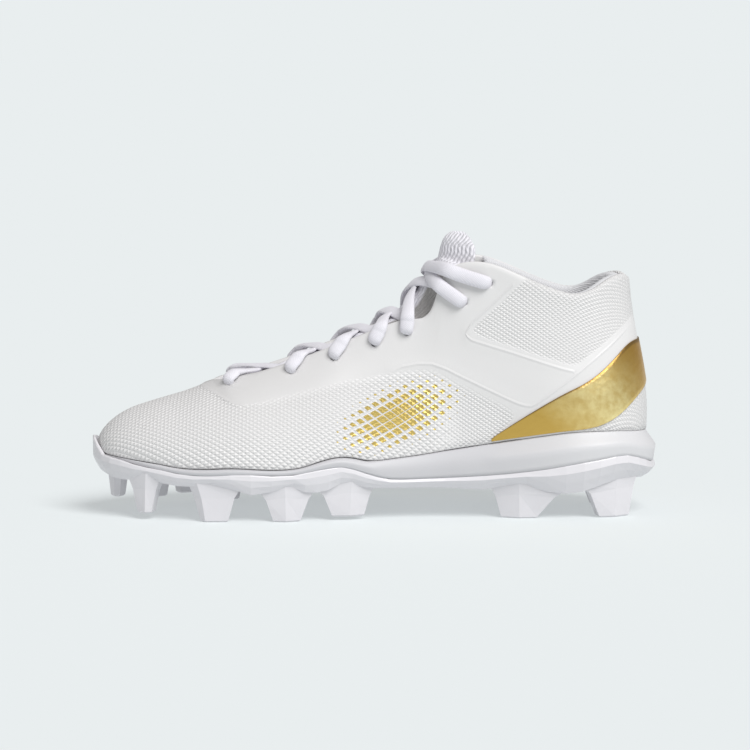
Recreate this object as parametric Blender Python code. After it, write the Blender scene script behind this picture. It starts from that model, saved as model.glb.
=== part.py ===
"""American football cleat, right shoe, mid cut, with a moulded stud plate.

Metres, +Z up, toe towards -X, heel towards +X, inner (medial) side towards -Y.
The plan outline, the sole's edge lines and the top line are short tables whose lengths are
shares of the named sizes below. Every piece is worked out from those same lines.
"""

import math

import bmesh
import bpy
import numpy as np
from mathutils import Vector

# Overall sizes.
LENGTH = 0.2910
BALL_WIDTH = 0.1020
HEEL_WIDTH = 0.0685
THROAT_WIDTH = 0.0420
COLLAR_WIDTH = 0.0632
SOLE_HEIGHT = 0.0450
VAMP_HEIGHT = 0.0684
INSTEP_HEIGHT = 0.1032
COLLAR_HEIGHT = 0.1324
HEEL_HEIGHT = 0.1236
TONGUE_HEIGHT = 0.1450

# Sole sizes.
TOE_BUMPER = 0.0022
HEEL_BULGE = 0.0052
BALL_BULGE = 0.0022
PLATE_RIM = 0.0020
PLATE_SEAT = 0.0020
PLATE_HOLLOW = 0.0080
PLATE_SKIN = 0.0022
PLATE_TUCK = 0.0012
PLATE_KEEL = 0.0030
PLATE_SHELF = 0.0120
RIM_ROUND = 0.0005
FOAM_CROWN = 0.0009
FOAM_ROUND = 0.0008
FOAM_LEAST = 0.0015
TOE_TAB_HEIGHT = 0.0078
TOE_TAB_THICK = 0.0012
TOE_TAB_REACH = 0.020
STUD_SINK = 0.0030
STUD_EDGE = 0.0008

# Upper and fittings.
WALL = 0.0022
MARGIN = 0.0090
FEATHER_TURN = 0.0009
NOTCH_DEPTH = 0.0085
EYELET = 0.0042
INSOLE = 0.0040
TONGUE_THICK = 0.0050
TONGUE_TOP_WIDTH = 0.0480
TONGUE_WRAP = 0.0180
TONGUE_FROM = 0.175
THROAT_FROM = 0.262
THROAT_FRONT = 0.214
PADDING = 0.0055
PADDING_DROP = 0.0360
PADDING_FROM = 0.720
BAND_THICK = 0.0007
LACE = 0.0040
LACE_ARCH = 0.0026
LACE_ROLL = 0.0006
GAP = 0.0003

FOOT = LENGTH - TOE_BUMPER - HEEL_BULGE
TOE_X = TOE_BUMPER - LENGTH / 2

# Plan outline of the upper where it meets the sole: share of the foot's length from the toe,
# the width that the row follows, and the inner and outer edge as shares of that width.
OUTLINE_COLUMNS = ("at", "width", "inner", "outer")
OUTLINE = (
    (0.0000, BALL_WIDTH, -0.108, -0.108),
    (0.0063, BALL_WIDTH, -0.196, -0.020),
    (0.0222, BALL_WIDTH, -0.270, 0.059),
    (0.0539, BALL_WIDTH, -0.338, 0.157),
    (0.0997, BALL_WIDTH, -0.397, 0.255),
    (0.1702, BALL_WIDTH, -0.456, 0.363),
    (0.2512, BALL_WIDTH, -0.491, 0.441),
    (0.3288, BALL_WIDTH, -0.488, 0.486),
    (0.4168, BALL_WIDTH, -0.446, 0.495),
    (0.5049, BALL_WIDTH, -0.387, 0.461),
    (0.6036, BALL_WIDTH, -0.338, 0.402),
    (0.6987, HEEL_WIDTH, -0.492, 0.518),
    (0.7868, HEEL_WIDTH, -0.523, 0.474),
    (0.8573, HEEL_WIDTH, -0.545, 0.453),
    (0.9101, HEEL_WIDTH, -0.518, 0.423),
    (0.9524, HEEL_WIDTH, -0.438, 0.350),
    (0.9806, HEEL_WIDTH, -0.321, 0.234),
    (0.9947, HEEL_WIDTH, -0.197, 0.109),
    (1.0000, HEEL_WIDTH, -0.044, -0.044),
)

# Heights of the sole's three edge lines, as shares of SOLE_HEIGHT at the heel.
FEATHER_COLUMNS = ("at", "height")
FEATHER = (
    (0.000, 0.740), (0.036, 0.702), (0.082, 0.669), (0.124, 0.638), (0.170, 0.596), (0.209, 0.600),
    (0.257, 0.618), (0.313, 0.591), (0.347, 0.589), (0.372, 0.611), (0.398, 0.662), (0.432, 0.720),
    (0.456, 0.731), (0.477, 0.691), (0.501, 0.667), (0.533, 0.687), (0.578, 0.718), (0.630, 0.769),
    (0.717, 0.856), (0.801, 0.940), (0.871, 0.996), (0.921, 0.998), (0.979, 0.969), (1.000, 0.942),
)
PARTING = (
    (0.000, 0.720), (0.036, 0.689), (0.058, 0.660), (0.076, 0.627), (0.125, 0.580), (0.177, 0.531),
    (0.210, 0.533), (0.269, 0.551), (0.331, 0.531), (0.356, 0.536), (0.382, 0.564), (0.416, 0.604),
    (0.449, 0.624), (0.475, 0.571), (0.509, 0.498), (0.543, 0.458), (0.578, 0.462), (0.628, 0.471),
    (0.706, 0.498), (0.801, 0.567), (0.871, 0.647), (0.921, 0.698), (0.951, 0.727), (0.983, 0.673),
    (1.000, 0.604),
)
PLATE_LOW = (
    (0.000, 0.556), (0.019, 0.496), (0.037, 0.458), (0.066, 0.444), (0.103, 0.478), (0.138, 0.409),
    (0.177, 0.400), (0.216, 0.422), (0.251, 0.384), (0.284, 0.316), (0.315, 0.342), (0.352, 0.411),
    (0.389, 0.331), (0.413, 0.342), (0.454, 0.438), (0.484, 0.382), (0.508, 0.362), (0.628, 0.353),
    (0.702, 0.329), (0.759, 0.389), (0.815, 0.313), (0.857, 0.289), (0.900, 0.364), (0.952, 0.449),
    (0.988, 0.422), (1.000, 0.404),
)

# Top line of the upper. Each row is one rib of the skin: where the rib starts on the outline,
# where it ends along the foot, the middle of the top line across the foot, its half width, and its height.
# Rows with no half width close over the toes.
TOP_COLUMNS = ("at", "top_at", "middle", "half_of", "half", "height_of", "height")
TOP = (
    (0.0000, 0.0786, -0.093, THROAT_WIDTH, 0.000, VAMP_HEIGHT, 0.819),
    (0.0222, 0.0874, -0.091, THROAT_WIDTH, 0.000, VAMP_HEIGHT, 0.832),
    (0.0539, 0.1032, -0.088, THROAT_WIDTH, 0.000, VAMP_HEIGHT, 0.852),
    (0.0997, 0.1279, -0.080, THROAT_WIDTH, 0.000, VAMP_HEIGHT, 0.883),
    (0.1596, 0.1614, -0.069, THROAT_WIDTH, 0.000, VAMP_HEIGHT, 0.924),
    (0.2054, 0.1878, -0.061, THROAT_WIDTH, 0.000, VAMP_HEIGHT, 0.968),
    (0.2442, 0.2089, -0.056, THROAT_WIDTH, 0.000, VAMP_HEIGHT, 1.000),
    (0.2724, 0.2160, -0.054, THROAT_WIDTH, 0.179, INSTEP_HEIGHT, 0.668),
    (0.3006, 0.2336, -0.051, THROAT_WIDTH, 0.286, INSTEP_HEIGHT, 0.677),
    (0.3428, 0.2759, -0.046, THROAT_WIDTH, 0.362, INSTEP_HEIGHT, 0.702),
    (0.3922, 0.3358, -0.039, THROAT_WIDTH, 0.398, INSTEP_HEIGHT, 0.750),
    (0.4486, 0.4063, -0.034, THROAT_WIDTH, 0.431, INSTEP_HEIGHT, 0.822),
    (0.5049, 0.4767, -0.029, THROAT_WIDTH, 0.467, INSTEP_HEIGHT, 0.897),
    (0.5543, 0.5366, -0.029, THROAT_WIDTH, 0.495, INSTEP_HEIGHT, 0.961),
    (0.5895, 0.5754, -0.029, THROAT_WIDTH, 0.521, INSTEP_HEIGHT, 1.000),
    (0.6212, 0.6036, -0.029, THROAT_WIDTH, 0.552, COLLAR_HEIGHT, 0.835),
    (0.6529, 0.6195, -0.029, COLLAR_WIDTH, 0.389, COLLAR_HEIGHT, 0.903),
    (0.6882, 0.6406, -0.029, COLLAR_WIDTH, 0.418, COLLAR_HEIGHT, 0.970),
    (0.7234, 0.6811, -0.029, COLLAR_WIDTH, 0.453, COLLAR_HEIGHT, 1.000),
    (0.7657, 0.7304, -0.029, COLLAR_WIDTH, 0.484, COLLAR_HEIGHT, 0.968),
    (0.8080, 0.7798, -0.029, COLLAR_WIDTH, 0.500, COLLAR_HEIGHT, 0.920),
    (0.8502, 0.8256, -0.029, COLLAR_WIDTH, 0.491, COLLAR_HEIGHT, 0.882),
    (0.8855, 0.8626, -0.029, COLLAR_WIDTH, 0.465, COLLAR_HEIGHT, 0.859),
    (0.9172, 0.8908, -0.029, COLLAR_WIDTH, 0.422, HEEL_HEIGHT, 0.934),
    (0.9419, 0.9154, -0.029, COLLAR_WIDTH, 0.358, HEEL_HEIGHT, 0.969),
    (0.9630, 0.9366, -0.029, COLLAR_WIDTH, 0.275, HEEL_HEIGHT, 0.996),
    (0.9806, 0.9535, -0.029, COLLAR_WIDTH, 0.180, HEEL_HEIGHT, 1.000),
    (0.9947, 0.9640, -0.029, COLLAR_WIDTH, 0.089, HEEL_HEIGHT, 0.985),
    (1.0000, 0.9672, -0.029, COLLAR_WIDTH, 0.000, HEEL_HEIGHT, 0.972),
)

# Fullness of the last along each rib: how far the lower part rises before it turns in, how far it
# bellies out (share of BALL_WIDTH), how far the upper part reaches over and drops, and its pinch.
FULLNESS_COLUMNS = ("at", "rise", "belly", "over", "drop", "pinch")
FULLNESS = (
    (0.000, 0.36, 0.018, 0.56, 0.16, 0.000),
    (0.020, 0.37, 0.022, 0.57, 0.13, 0.000),
    (0.100, 0.42, 0.034, 0.60, 0.05, 0.000),
    (0.220, 0.46, 0.028, 0.62, 0.02, 0.000),
    (0.330, 0.44, 0.020, 0.55, 0.10, 0.000),
    (0.450, 0.42, 0.004, 0.46, 0.22, 0.000),
    (0.555, 0.38, -0.008, 0.38, 0.30, 0.000),
    (0.690, 0.36, 0.004, 0.33, 0.36, 0.000),
    (0.800, 0.36, 0.022, 0.32, 0.36, -0.030),
    (0.900, 0.34, 0.034, 0.32, 0.35, -0.052),
    (1.000, 0.33, 0.027, 0.33, 0.33, -0.020),
)

# Crest line of the tongue's face along its middle.
TONGUE_COLUMNS = ("at", "height")
TONGUE_CREST = (
    (0.200, 0.436), (0.222, 0.447), (0.245, 0.464), (0.290, 0.496), (0.350, 0.536), (0.434, 0.604),
    (0.505, 0.668), (0.545, 0.718), (0.565, 0.764), (0.582, 0.806), (0.600, 0.855), (0.611, 0.886),
    (0.616, 0.908), (0.620, 0.950), (0.628, 0.984), (0.645, 1.000),
)

# Free top of the tongue: share along the foot of its crest, half width, how far its sides wrap back
# round the shin and how far they drop, as shares of the tongue's top width and wrap.
TONGUE_TOP_COLUMNS = ("at", "half", "wrap", "drop")
TONGUE_TOP = (
    (0.616, 0.50, 1.00, 0.18),
    (0.620, 0.49, 1.00, 0.28),
    (0.627, 0.46, 0.90, 0.26),
    (0.636, 0.39, 0.68, 0.18),
    (0.645, 0.27, 0.36, 0.05),
)

# Studs: share along the foot, side (-1 inner, 1 outer), share of the way from the middle to the edge,
# how far the skirt runs forward and back along the plate, the skirt's depth, the tip's length and depth
# and its place along the stud, lean of the ridge, and the height of the tip.
STUD_LENGTH = 0.0210
STUD_DEPTH = 0.0150
STUD_COLUMNS = ("at", "side", "out", "front", "back", "depth", "tip_length", "tip_depth", "tip_at", "ridge", "lift")
STUDS = (
    (0.037, -1, 0.13, 0.28, 0.32, 0.66, 0.28, 0.40, 0.00, 0.2, 0.510),
    (0.094, -1, 0.84, 0.42, 0.50, 0.86, 0.36, 0.50, 0.02, 0.3, 0.200),
    (0.220, -1, 0.86, 0.66, 0.70, 0.94, 0.66, 0.56, 0.00, -0.6, 0.000),
    (0.347, -1, 0.86, 0.74, 0.76, 0.94, 0.64, 0.56, 0.00, -0.1, 0.000),
    (0.454, -1, 0.85, 0.84, 0.72, 0.90, 0.78, 0.52, 0.02, 0.1, 0.110),
    (0.766, -1, 0.82, 0.76, 1.38, 0.94, 0.84, 0.56, -0.02, 0.0, 0.000),
    (0.932, -1, 0.72, 0.98, 0.64, 0.94, 0.80, 0.56, 0.02, 0.0, 0.000),
    (0.104, 1, 0.66, 0.36, 0.40, 0.80, 0.34, 0.50, 0.00, 0.3, 0.280),
    (0.150, 1, 0.84, 0.36, 0.40, 0.60, 0.40, 0.40, 0.00, 0.0, 0.280),
    (0.226, 1, 0.87, 0.60, 0.66, 0.94, 0.66, 0.56, 0.00, -0.6, 0.000),
    (0.347, 1, 0.87, 0.72, 0.74, 0.94, 0.64, 0.56, 0.00, -0.1, 0.000),
    (0.454, 1, 0.87, 0.84, 0.72, 0.90, 0.78, 0.52, 0.02, 0.1, 0.110),
    (0.766, 1, 0.82, 0.76, 1.38, 0.94, 0.84, 0.56, -0.02, 0.0, 0.000),
    (0.932, 1, 0.72, 0.98, 0.64, 0.94, 0.80, 0.56, 0.02, 0.0, 0.000),
)
STUD_WAIST = 0.40
STUD_FLARE = 0.66
STUD_REACH = 0.0170

# Eyelets: the rib that each lies on, by where it starts on the outline, its way down from the edge,
# and the rib at whose end its lace rolls over the edge. The top two sit back in the ankle flap.
EYELET_COLUMNS = ("at", "inset", "over_at")
EYELETS = (
    (0.297, 0.0066, 0.297),
    (0.398, 0.0066, 0.398),
    (0.463, 0.0066, 0.463),
    (0.524, 0.0066, 0.524),
    (0.575, 0.0070, 0.575),
    (0.700, 0.0205, 0.652),
    (0.743, 0.0112, 0.678),
)

# Gold band round the heel: lower and upper edge as shares of each rib's length.
BAND_COLUMNS = ("at", "low", "high")
BAND = (
    (0.714, 0.004, 0.020),
    (0.760, 0.004, 0.092),
    (0.800, 0.004, 0.165),
    (0.840, 0.004, 0.250),
    (0.880, 0.006, 0.335),
    (0.915, 0.040, 0.415),
    (0.945, 0.110, 0.485),
    (0.975, 0.215, 0.560),
    (1.000, 0.345, 0.610),
)

# How many ribs each stretch of the foot gets, so that curves and the flex notch stay smooth.
RIB_RUNS = ((0.0, 0.10, 7), (0.10, 0.36, 8), (0.36, 0.53, 8), (0.53, 0.70, 7), (0.70, 0.93, 7), (0.93, 1.0, 6))
SKIN_ROWS = 7


def turn_of(at):
    """Even steps of this angle crowd together at toe and heel, where the outline turns."""
    return np.arccos(1 - 2 * np.clip(np.asarray(at, float), 0, 1)) / math.pi


def foot_x(turn):
    return TOE_X + FOOT * (1 - np.cos(np.asarray(turn, float) * math.pi)) / 2


def runs(table):
    """The turns of all stations of a run table, toe to heel."""
    found = []
    for low, high, count in table:
        low, high = turn_of((low, high))
        found += list(np.linspace(low, high, count, endpoint=False))
    return np.array(found + [1.0])


def knots(rows, columns, name, over=None):
    """(turns, values) of one column, times another column where the row names its size."""
    at = turn_of([row[0] for row in rows])
    values = np.array([row[columns.index(name)] for row in rows], float)
    if over is not None:
        values = values * np.array([row[columns.index(over)] for row in rows], float)
    return at, values


def through(at, values, where):
    """A curve through the rows that never swings past them."""
    where = np.clip(np.asarray(where, float), at[0], at[-1])
    step = np.diff(at)
    rise = np.diff(values) / step
    slope = np.zeros(len(at))
    slope[0], slope[-1] = rise[0], rise[-1]
    for i in range(1, len(at) - 1):
        if rise[i - 1] * rise[i] > 0:
            near, far = 2 * step[i] + step[i - 1], step[i] + 2 * step[i - 1]
            slope[i] = (near + far) / (near / rise[i - 1] + far / rise[i])
    k = np.clip(np.searchsorted(at, where, side="right") - 1, 0, len(step) - 1)
    t = (where - at[k]) / step[k]
    return (
        (2 * t**3 - 3 * t**2 + 1) * values[k]
        + (t**3 - 2 * t**2 + t) * step[k] * slope[k]
        + (3 * t**2 - 2 * t**3) * values[k + 1]
        + (t**3 - t**2) * step[k] * slope[k + 1]
    )


def bent(at, values, where):
    """A curve through the rows with even curvature, as a bent batten takes it."""
    where = np.clip(np.asarray(where, float), at[0], at[-1])
    step = np.diff(at)
    count = len(at)
    matrix = np.eye(count)
    right = np.zeros(count)
    for i in range(1, count - 1):
        matrix[i, i - 1 : i + 2] = step[i - 1], 2 * (step[i - 1] + step[i]), step[i]
        right[i] = 6 * ((values[i + 1] - values[i]) / step[i] - (values[i] - values[i - 1]) / step[i - 1])
    second = np.linalg.solve(matrix, right)
    k = np.clip(np.searchsorted(at, where, side="right") - 1, 0, len(step) - 1)
    a, b = (at[k + 1] - where) / step[k], (where - at[k]) / step[k]
    return a * values[k] + b * values[k + 1] + (
        (a**3 - a) * second[k] + (b**3 - b) * second[k + 1]
    ) * step[k] ** 2 / 6


def outline(turn, side, offset=0.0):
    """(x, y, nx, ny) of the plan outline moved outwards by offset; side is -1 inner or 1 outer."""
    turn = np.asarray(turn, float)
    name = "inner" if side < 0 else "outer"
    at, edge = knots(OUTLINE, OUTLINE_COLUMNS, name, "width")
    small = 1e-4
    near, far = np.clip(turn - small, 0, 1), np.clip(turn + small, 0, 1)
    dx = foot_x(far) - foot_x(near)
    dy = bent(at, edge, far) - bent(at, edge, near)
    dx = np.where((turn < small) | (turn > 1 - small), 0.0, dx)
    size = np.hypot(dx, dy)
    nx, ny = -side * dy / size, side * dx / size
    return foot_x(turn) + offset * nx, bent(at, edge, turn) + offset * ny, nx, ny


def height(table, turn):
    at, values = knots(table, FEATHER_COLUMNS, "height")
    return through(at, values * SOLE_HEIGHT, turn)


def bulge(turn):
    """How far the sole's side stands out past the upper, growing towards the heel."""
    share = np.clip((1 - np.cos(np.asarray(turn, float) * math.pi)) / 2, 0, 1)
    grow = np.clip((share - 0.45) / 0.45, 0, 1)
    return BALL_BULGE + (HEEL_BULGE - BALL_BULGE) * grow * grow * (3 - 2 * grow)


def rib(turn, side):
    """The four control points of the skin's rib that starts at this turn of the outline."""
    turn = np.atleast_1d(np.asarray(turn, float))
    x, y, nx, ny = outline(turn, side)
    out = np.stack([nx, ny, np.zeros_like(nx)], -1)
    foot = np.stack([x, y, height(FEATHER, turn) + FEATHER_TURN], -1)
    top_at = through(*knots(TOP, TOP_COLUMNS, "top_at"), turn)
    middle = through(*knots(TOP, TOP_COLUMNS, "middle"), turn) * BALL_WIDTH
    half = through(*knots(TOP, TOP_COLUMNS, "half", "half_of"), turn)
    tall = through(*knots(TOP, TOP_COLUMNS, "height", "height_of"), turn)
    top = np.stack([TOE_X + FOOT * top_at, middle + side * half, tall], -1)
    rise, belly, over, drop, pinch = (
        through(*knots(FULLNESS, FULLNESS_COLUMNS, name), turn)[:, None] for name in FULLNESS_COLUMNS[1:]
    )
    up = np.array([0.0, 0.0, 1.0])
    tallness = (top - foot)[:, 2:3]
    flat = (foot - top) * np.array([1.0, 1.0, 0.0])
    low_handle = foot + up * rise * tallness + out * belly * BALL_WIDTH
    high_handle = top + over * flat + out * pinch * BALL_WIDTH - up * drop * tallness
    return foot, low_handle, high_handle, top


def skin(turn, side, v, depth=0.0):
    """Points of the upper's outer skin at share v of the ribs, or that far inside it."""
    turn, v = np.broadcast_arrays(np.asarray(turn, float), np.asarray(v, float))
    shape = turn.shape
    turn, v = turn.reshape(-1), v.reshape(-1)

    def at(turns, shares):
        a, b, c, d = rib(turns, side)
        t = shares[:, None]
        return a * (1 - t) ** 3 + 3 * b * t * (1 - t) ** 2 + 3 * c * t * t * (1 - t) + d * t**3

    points = at(turn, v)
    if np.any(depth):
        small = 2e-3
        along = at(np.clip(turn + small, 0, 1), v) - at(np.clip(turn - small, 0, 1), v)
        upward = at(turn, np.clip(v + small, 0, 1)) - at(turn, np.clip(v - small, 0, 1))
        normal = np.cross(upward, along) * side
        flat_end = np.minimum(turn, 1 - turn) < small
        normal[flat_end, 1] = 0.0
        normal /= np.linalg.norm(normal, axis=1)[:, None]
        points = points - normal * np.broadcast_to(depth, shape).reshape(-1)[:, None]
    return points.reshape(shape + (3,))


def rib_end(turn):
    """Share of each rib that is left under the throat edge, which dips at the flex notch."""
    foot, _, _, top = rib(turn, -1)
    away = (foot_x(turn) - (TOE_X + FOOT * 0.617)) / (FOOT * 0.020)
    return 1 - NOTCH_DEPTH / np.linalg.norm(top - foot, axis=1) * np.exp(-(away**2))


def material(name, colour, roughness, metallic=0.0):
    made = bpy.data.materials.new(name)
    made.use_nodes = True
    shader = made.node_tree.nodes["Principled BSDF"]
    shader.inputs["Base Color"].default_value = (*colour, 1.0)
    shader.inputs["Roughness"].default_value = roughness
    shader.inputs["Metallic"].default_value = metallic
    return made


def finish(mesh, name, made, smooth=40):
    """Turns a bmesh into a named object with its material and smooth shading."""
    bmesh.ops.remove_doubles(mesh, verts=mesh.verts, dist=1e-6)
    bmesh.ops.dissolve_degenerate(mesh, dist=1e-6, edges=mesh.edges)
    bmesh.ops.recalc_face_normals(mesh, faces=mesh.faces)
    data = bpy.data.meshes.new(name)
    mesh.to_mesh(data)
    mesh.free()
    data.shade_smooth()
    data.set_sharp_from_angle(angle=math.radians(smooth))
    data.materials.append(made)
    piece = bpy.data.objects.new(name, data)
    bpy.context.scene.collection.objects.link(piece)
    return piece


def ring(mesh, inner, outer):
    """One closed ring of vertices: the inner side toe to heel, then the outer side back again."""
    points = list(inner) + list(outer[-2:0:-1])
    return [mesh.verts.new(point) for point in points]


def band_of_faces(mesh, first, second, closed=True):
    count = len(first)
    for i in range(count if closed else count - 1):
        j = (i + 1) % count
        mesh.faces.new((first[i], first[j], second[j], second[i]))


def lid(mesh, edge, spine):
    """Closes a ring by strips to a line of vertices down its middle."""
    last = len(spine) - 1
    count = len(edge)
    for i in range(last):
        for a, b in ((i, i + 1), ((count - i) % count, (count - i - 1) % count)):
            corners = [edge[a], edge[b], spine[i + 1], spine[i]]
            kept = [corner for k, corner in enumerate(corners) if corner not in corners[:k]]
            if len(kept) > 2:
                mesh.faces.new(kept)


def line_height(table, x, above):
    """Height of one of the sole's lines at x; above is a length, or a function of x."""
    return height(table, turn_of((x - TOE_X) / FOOT)) + (above(x) if callable(above) else above)


def level(turns, offset, table, above=0.0):
    """Inner and outer row of points at this offset from the outline, that far above one of the sole's lines."""
    rows = []
    for side in (-1, 1):
        x, y, _, _ = outline(turns, side, offset)
        rows.append(np.stack([x, y, line_height(table, x, above)], -1))
    return rows


def slab(name, made, turns, levels, middle=None):
    """A solid from rings of (offset, line, height above it); the first is the top, the last the underside.

    middle is how far the underside's middle line lies above its line, if not as far as its edge."""
    mesh = bmesh.new()
    rings = [ring(mesh, *level(turns, *one)) for one in levels]
    for first, second in zip(rings, rings[1:]):
        band_of_faces(mesh, first, second)
    for (offset, table, above), edge, rise in ((levels[0], rings[0], None), (levels[-1], rings[-1], middle)):
        inner, outer = level(turns, offset, table, above)
        centre = (inner + outer) / 2
        centre[:, 2] = line_height(table, centre[:, 0], rise or above)
        spine = [edge[0]] + [mesh.verts.new(p) for p in centre[1:-1]] + [edge[len(turns) - 1]]
        lid(mesh, edge, spine)
    return finish(mesh, name, made)


def add_modifier(piece, kind, **settings):
    modifier = piece.modifiers.new(kind.title(), kind)
    for key, value in settings.items():
        setattr(modifier, key, value)
    return modifier


def cutter(mesh, name):
    bmesh.ops.recalc_face_normals(mesh, faces=mesh.faces)
    data = bpy.data.meshes.new(name)
    mesh.to_mesh(data)
    mesh.free()
    piece = bpy.data.objects.new(name, data)
    piece.hide_render = True
    piece.display_type = "WIRE"
    bpy.context.scene.collection.objects.link(piece)
    return piece


def hollow(x):
    """How far the plate's underside rises in its middle, leaving its floor a skin thick."""
    tall = line_height(PARTING, x, -PLATE_SEAT - PLATE_SKIN) - line_height(PLATE_LOW, x, 0.0)
    return np.clip(tall, 0, PLATE_HOLLOW)


def make_outsole():
    turns = runs(RIB_RUNS)
    tall = height(PARTING, turns) - height(PLATE_LOW, turns)
    out = bulge(turns)
    rim = out * 0.80
    reach = np.clip(1 - (turns / turn_of(TOE_TAB_REACH)) ** 2, 0, 1)
    tab = TOE_TAB_HEIGHT * reach
    tab_in = (rim - PLATE_RIM) * (1 - reach) + (TOE_BUMPER - TOE_TAB_THICK) * reach
    tab_out = rim * (1 - reach) + TOE_BUMPER * reach
    levels = (
        (rim - PLATE_RIM, PARTING, -PLATE_SEAT),
        (tab_in, PARTING, tab),
        (tab_out - RIM_ROUND * 0.8, PARTING, tab + RIM_ROUND * 0.2),
        (tab_out, PARTING, tab - RIM_ROUND),
        (out * 0.95, PARTING, -tall * 0.28),
        (out * 0.45, PARTING, -tall * 0.62),
        (-PLATE_TUCK, PLATE_LOW, 0.0),
        (-PLATE_KEEL, PLATE_LOW, -0.6 * GAP),
        (-PLATE_SHELF, PLATE_LOW, lambda x: hollow(x) * 0.55),
    )
    plate = slab("outsole", PLASTIC, turns, levels, hollow)
    studs = bmesh.new()
    for row in STUDS:
        add_stud(studs, dict(zip(STUD_COLUMNS, row)))
    blanks = cutter(studs, "stud_blanks")
    add_modifier(plate, "BOOLEAN", operation="UNION", object=blanks, solver="EXACT", use_self=True)
    return plate


def add_stud(mesh, one):
    """A block with a flared skirt and a ridge down its outward face, standing out of the plate's underside."""
    turn = turn_of(one["at"])
    x, y, nx, ny = (float(v) for v in outline(turn, one["side"]))
    other = float(outline(turn, -one["side"])[1])
    middle = (y + other) / 2
    away = one["side"]
    base_out = middle + (y - middle) * one["out"]
    slope = math.atan2(ny * away, nx * away) - math.pi / 2 if abs(nx) < 0.9 else 0.0
    reach, ridge = STUD_LENGTH * one["tip_length"] / 2, one["ridge"]
    front, back = STUD_LENGTH * one["front"], STUD_LENGTH * one["back"]
    loops = []
    for share in (0.0, STUD_WAIST, 1.0):
        narrow = share ** STUD_FLARE
        shift = STUD_LENGTH * one["tip_at"] * narrow
        fore, aft = front + (reach - front) * narrow - shift, back + (reach - back) * narrow + shift
        b = STUD_DEPTH * (one["depth"] + (one["tip_depth"] - one["depth"]) * narrow)
        shape = (
            (-fore * 0.84, -b * 0.50),
            (-fore, b * 0.28),
            (ridge * (aft if ridge > 0 else fore), b * 0.50),
            (aft, b * 0.28),
            (aft * 0.84, -b * 0.50),
        )
        loop = []
        for along, across in shape:
            px = x + along * math.cos(slope) - across * away * math.sin(slope)
            py = base_out + along * math.sin(slope) + across * away * math.cos(slope)
            sunk = line_height(PLATE_LOW, px, STUD_SINK) + hollow(px) * (1 - one["out"])
            root = min(float(sunk), float(line_height(PARTING, px, -PLATE_SEAT)) - PLATE_SKIN * 0.4)
            tip = STUD_REACH * one["lift"]
            loop.append(mesh.verts.new((px, py, root + (tip - root) * share)))
        loops.append(loop)
    faces = [mesh.faces.new(loops[0]), mesh.faces.new(loops[2][::-1])]
    for upper_loop, lower_loop in zip(loops, loops[1:]):
        for i in range(5):
            j = (i + 1) % 5
            faces.append(mesh.faces.new((upper_loop[i], lower_loop[i], lower_loop[j], upper_loop[j])))
    tip_edges = list({e for v in loops[2] for e in v.link_edges if e.other_vert(v) in loops[2]})
    bmesh.ops.recalc_face_normals(mesh, faces=faces)
    bmesh.ops.bevel(
        mesh, geom=tip_edges, offset=STUD_EDGE, affect="EDGES", segments=1, profile=0.5, material=-1
    )


def foam(share):
    """Height of the foam's side under its top edge, at this share of the way down to the plate's rim."""

    def under(x):
        feather, rim = line_height(FEATHER, x, 0.0), line_height(PARTING, x, 1.5 * GAP)
        return -GAP - share * (feather - GAP - np.minimum(rim, feather - 3 * GAP))

    return under


def make_midsole():
    turns = runs(RIB_RUNS)
    x, _, _, _ = outline(turns, -1)
    out = bulge(turns)
    seat = out * 0.80 - PLATE_RIM - GAP
    covered = np.clip(-1.5 * foam(1.0)(x) / FOAM_LEAST - 1.5, 0, 1)
    side, swell, crown = (seat + (wide - seat) * covered for wide in (out * 0.78, out, FOAM_CROWN))
    levels = (
        (crown - FOAM_ROUND, FEATHER, -GAP),
        (crown, FEATHER, foam(0.12)),
        (swell, FEATHER, foam(0.50)),
        (side, FEATHER, foam(1.0)),
        (seat, FEATHER, foam(1.005)),
        (seat, PARTING, GAP - PLATE_SEAT),
    )
    return slab("midsole", FOAM, turns, levels)


def make_upper():
    turns = runs(RIB_RUNS)
    ends = rib_end(turns)
    mesh = bmesh.new()
    rings = [ring(mesh, *level(turns, -inset, FEATHER)) for inset in (MARGIN, MARGIN / 2, FEATHER_TURN)]
    for row in range(SKIN_ROWS + 1):
        v = ends * row / SKIN_ROWS
        rings.append(ring(mesh, skin(turns, -1, v), skin(turns, 1, v)))
    for first, second in zip(rings, rings[1:]):
        band_of_faces(mesh, first, second)
    upper = finish(mesh, "upper", SKIN)
    add_modifier(upper, "SOLIDIFY", thickness=WALL, offset=-1.0, use_even_offset=True, use_quality_normals=True)
    holes = bmesh.new()
    for row in EYELETS:
        for side in (-1, 1):
            place, normal, _ = eyelet(*row[:2], side)
            made = bmesh.ops.create_cone(
                holes, cap_ends=True, segments=6, radius1=EYELET / 2, radius2=EYELET / 2, depth=WALL * 4
            )
            turned = Vector(normal).to_track_quat("Z", "Y").to_matrix().to_4x4()
            bmesh.ops.transform(holes, matrix=turned, verts=made["verts"])
            bmesh.ops.translate(holes, vec=Vector(place), verts=made["verts"])
    add_modifier(upper, "BOOLEAN", operation="DIFFERENCE", object=cutter(holes, "eyelet_punch"), solver="EXACT")
    return upper


def eyelet(at, inset, side):
    """(point on the skin, outward normal, share of the rib) of the eyelet this far down the rib."""
    turn = turn_of(at)
    end = float(rib_end(np.array([turn]))[0])
    shares = np.linspace(end, 0.5, 60)
    line = skin(np.full(60, turn), side, shares)
    run = np.concatenate([[0], np.cumsum(np.linalg.norm(np.diff(line, axis=0), axis=1))])
    v = float(np.interp(inset, run, shares))
    place = skin(np.array([turn]), side, np.array([v]))[0]
    inside = skin(np.array([turn]), side, np.array([v]), 0.001)[0]
    return place, (place - inside) / np.linalg.norm(place - inside), v


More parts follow.
